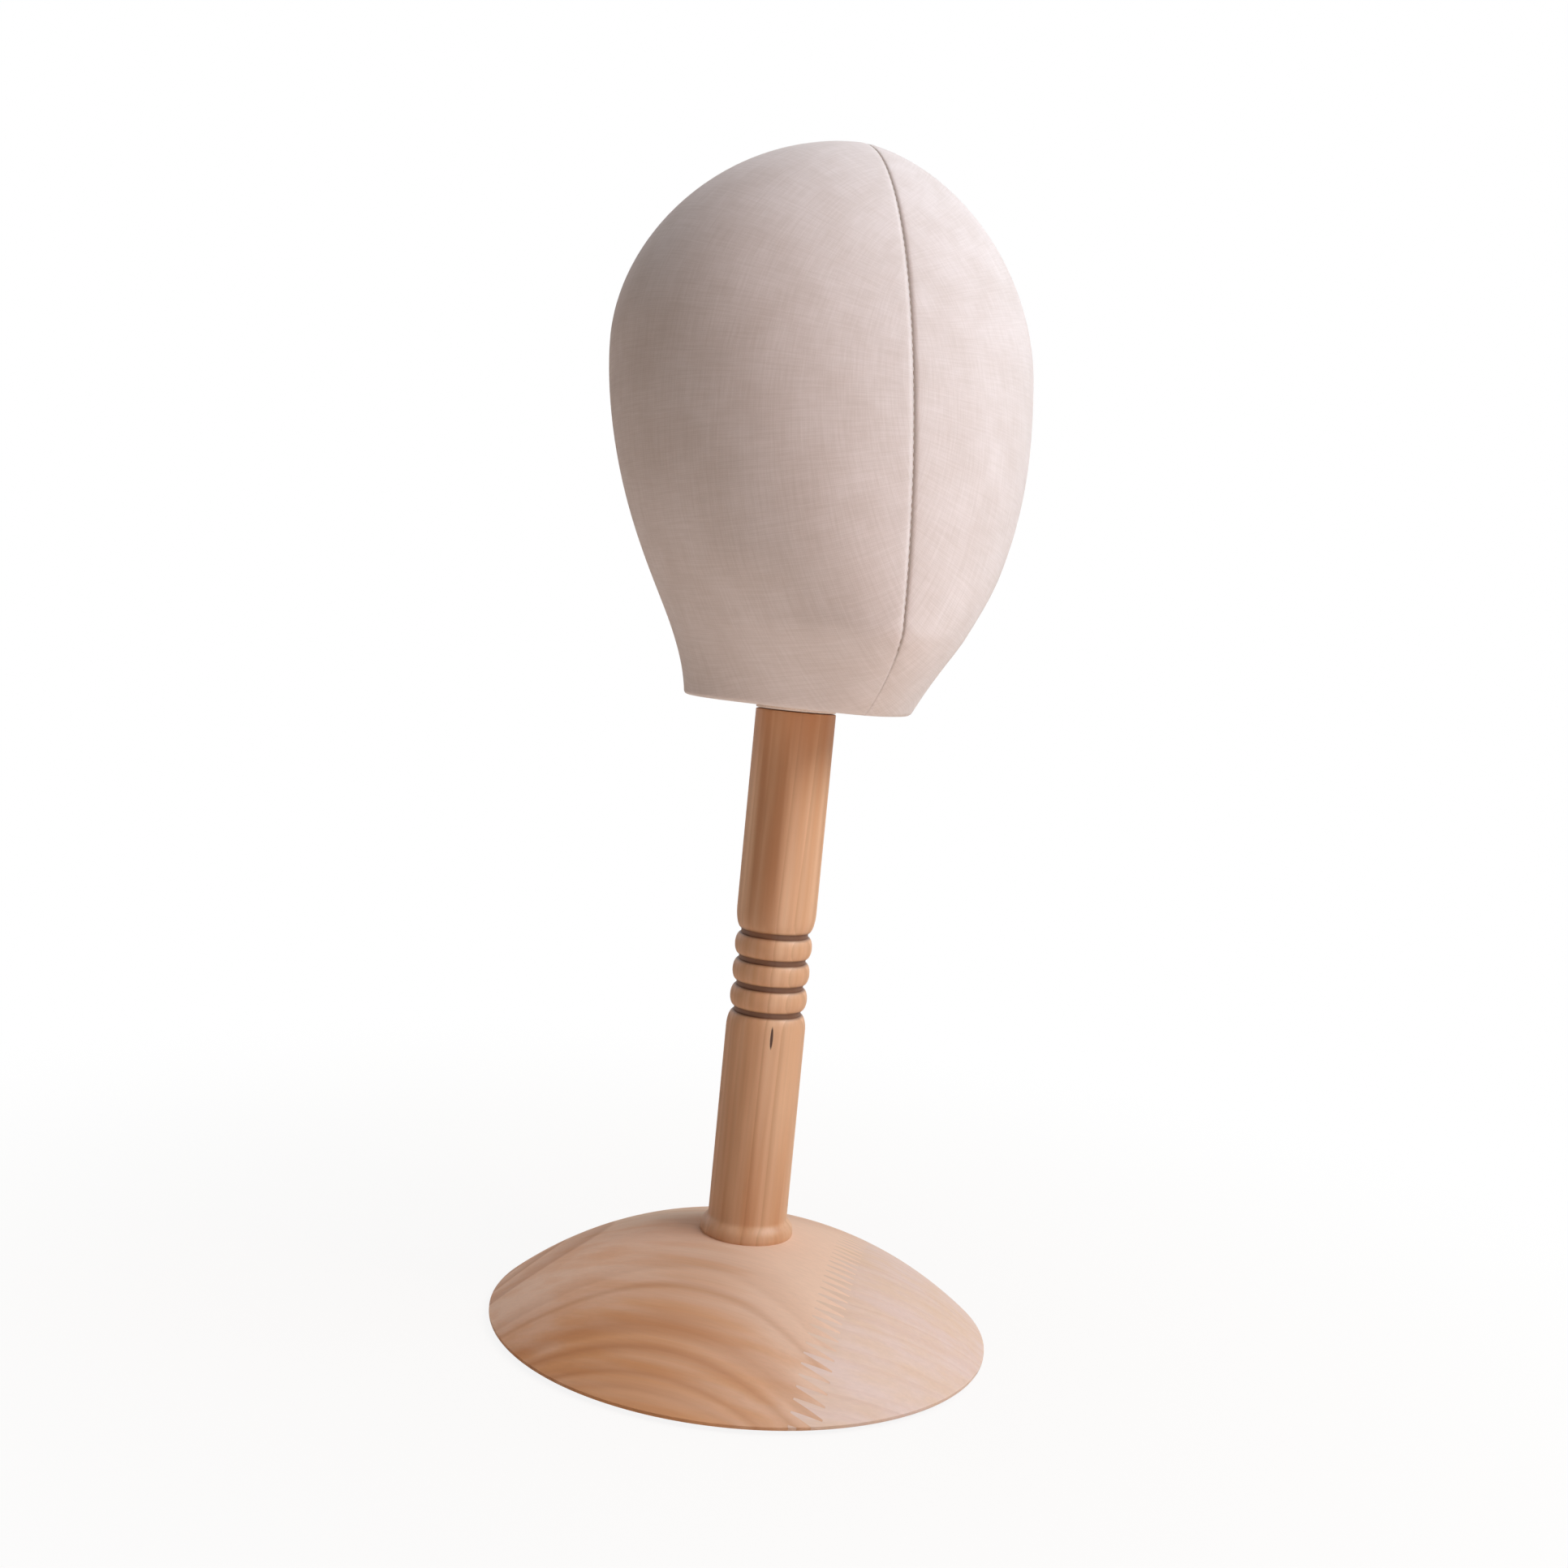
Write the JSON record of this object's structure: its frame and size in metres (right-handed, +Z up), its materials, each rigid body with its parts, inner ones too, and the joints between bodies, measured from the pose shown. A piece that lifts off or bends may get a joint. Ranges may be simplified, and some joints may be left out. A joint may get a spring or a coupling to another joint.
{
  "type": "mannequin head",
  "caption": "Faceless baby-size display head covered in seamed linen, on a turned wooden pole with beads and a low domed wooden base; the head turns on its pole and lifts off.",
  "frame": {"origin": "on the axis of the pole, on the surface that the felt feet stand on", "axes": "+Z up along the pole, -Y the way the face looks, +X to the left hand of the head"},
  "size_m": [0.176, 0.176, 0.4116],
  "materials": {
    "linen": "fine plain-weave linen, unbleached and slightly slubby",
    "foam": null,
    "plywood": "raw plywood",
    "liner": "linen glued to thin card",
    "socket": "wound card tube",
    "washer_felt": "pale pressed felt",
    "pole_wood": "turned wood, thin satin lacquer",
    "base_wood_left": "turned wood with curved growth rings, thin satin lacquer",
    "base_wood_right": "paler straight-grained wood, thin satin lacquer",
    "steel": "zinc-plated",
    "foot_felt": "thin self-adhesive felt"
  },
  "bodies": {
    "stand": {"pole": "pole_wood", "base_block_left": "base_wood_left", "base_block_right": "base_wood_right", "base_screw": "steel", "base_screw_washer": "steel", "foot_pad_1": "foot_felt", "foot_pad_2": "foot_felt", "foot_pad_3": "foot_felt", "foot_pad_4": "foot_felt"},
    "swivel": {"swivel_washer": "washer_felt"},
    "head": {"linen_cover_left": "linen", "linen_cover_right": "linen", "head_core": "foam", "neck_board": "plywood", "neck_liner": "liner", "socket_tube": "socket", "socket_plug": "plywood"}
  },
  "joints": [
    {"name": "head_turn", "type": "hinge", "parent": "stand", "child": "swivel", "pos_m": [0, 0, 0.2198], "axis": [0, 0, 1], "continuous": true},
    {"name": "head_lift", "type": "slide", "parent": "swivel", "child": "head", "axis": [0, 0, 1], "range_m": [0, 0.07]}
  ]
}
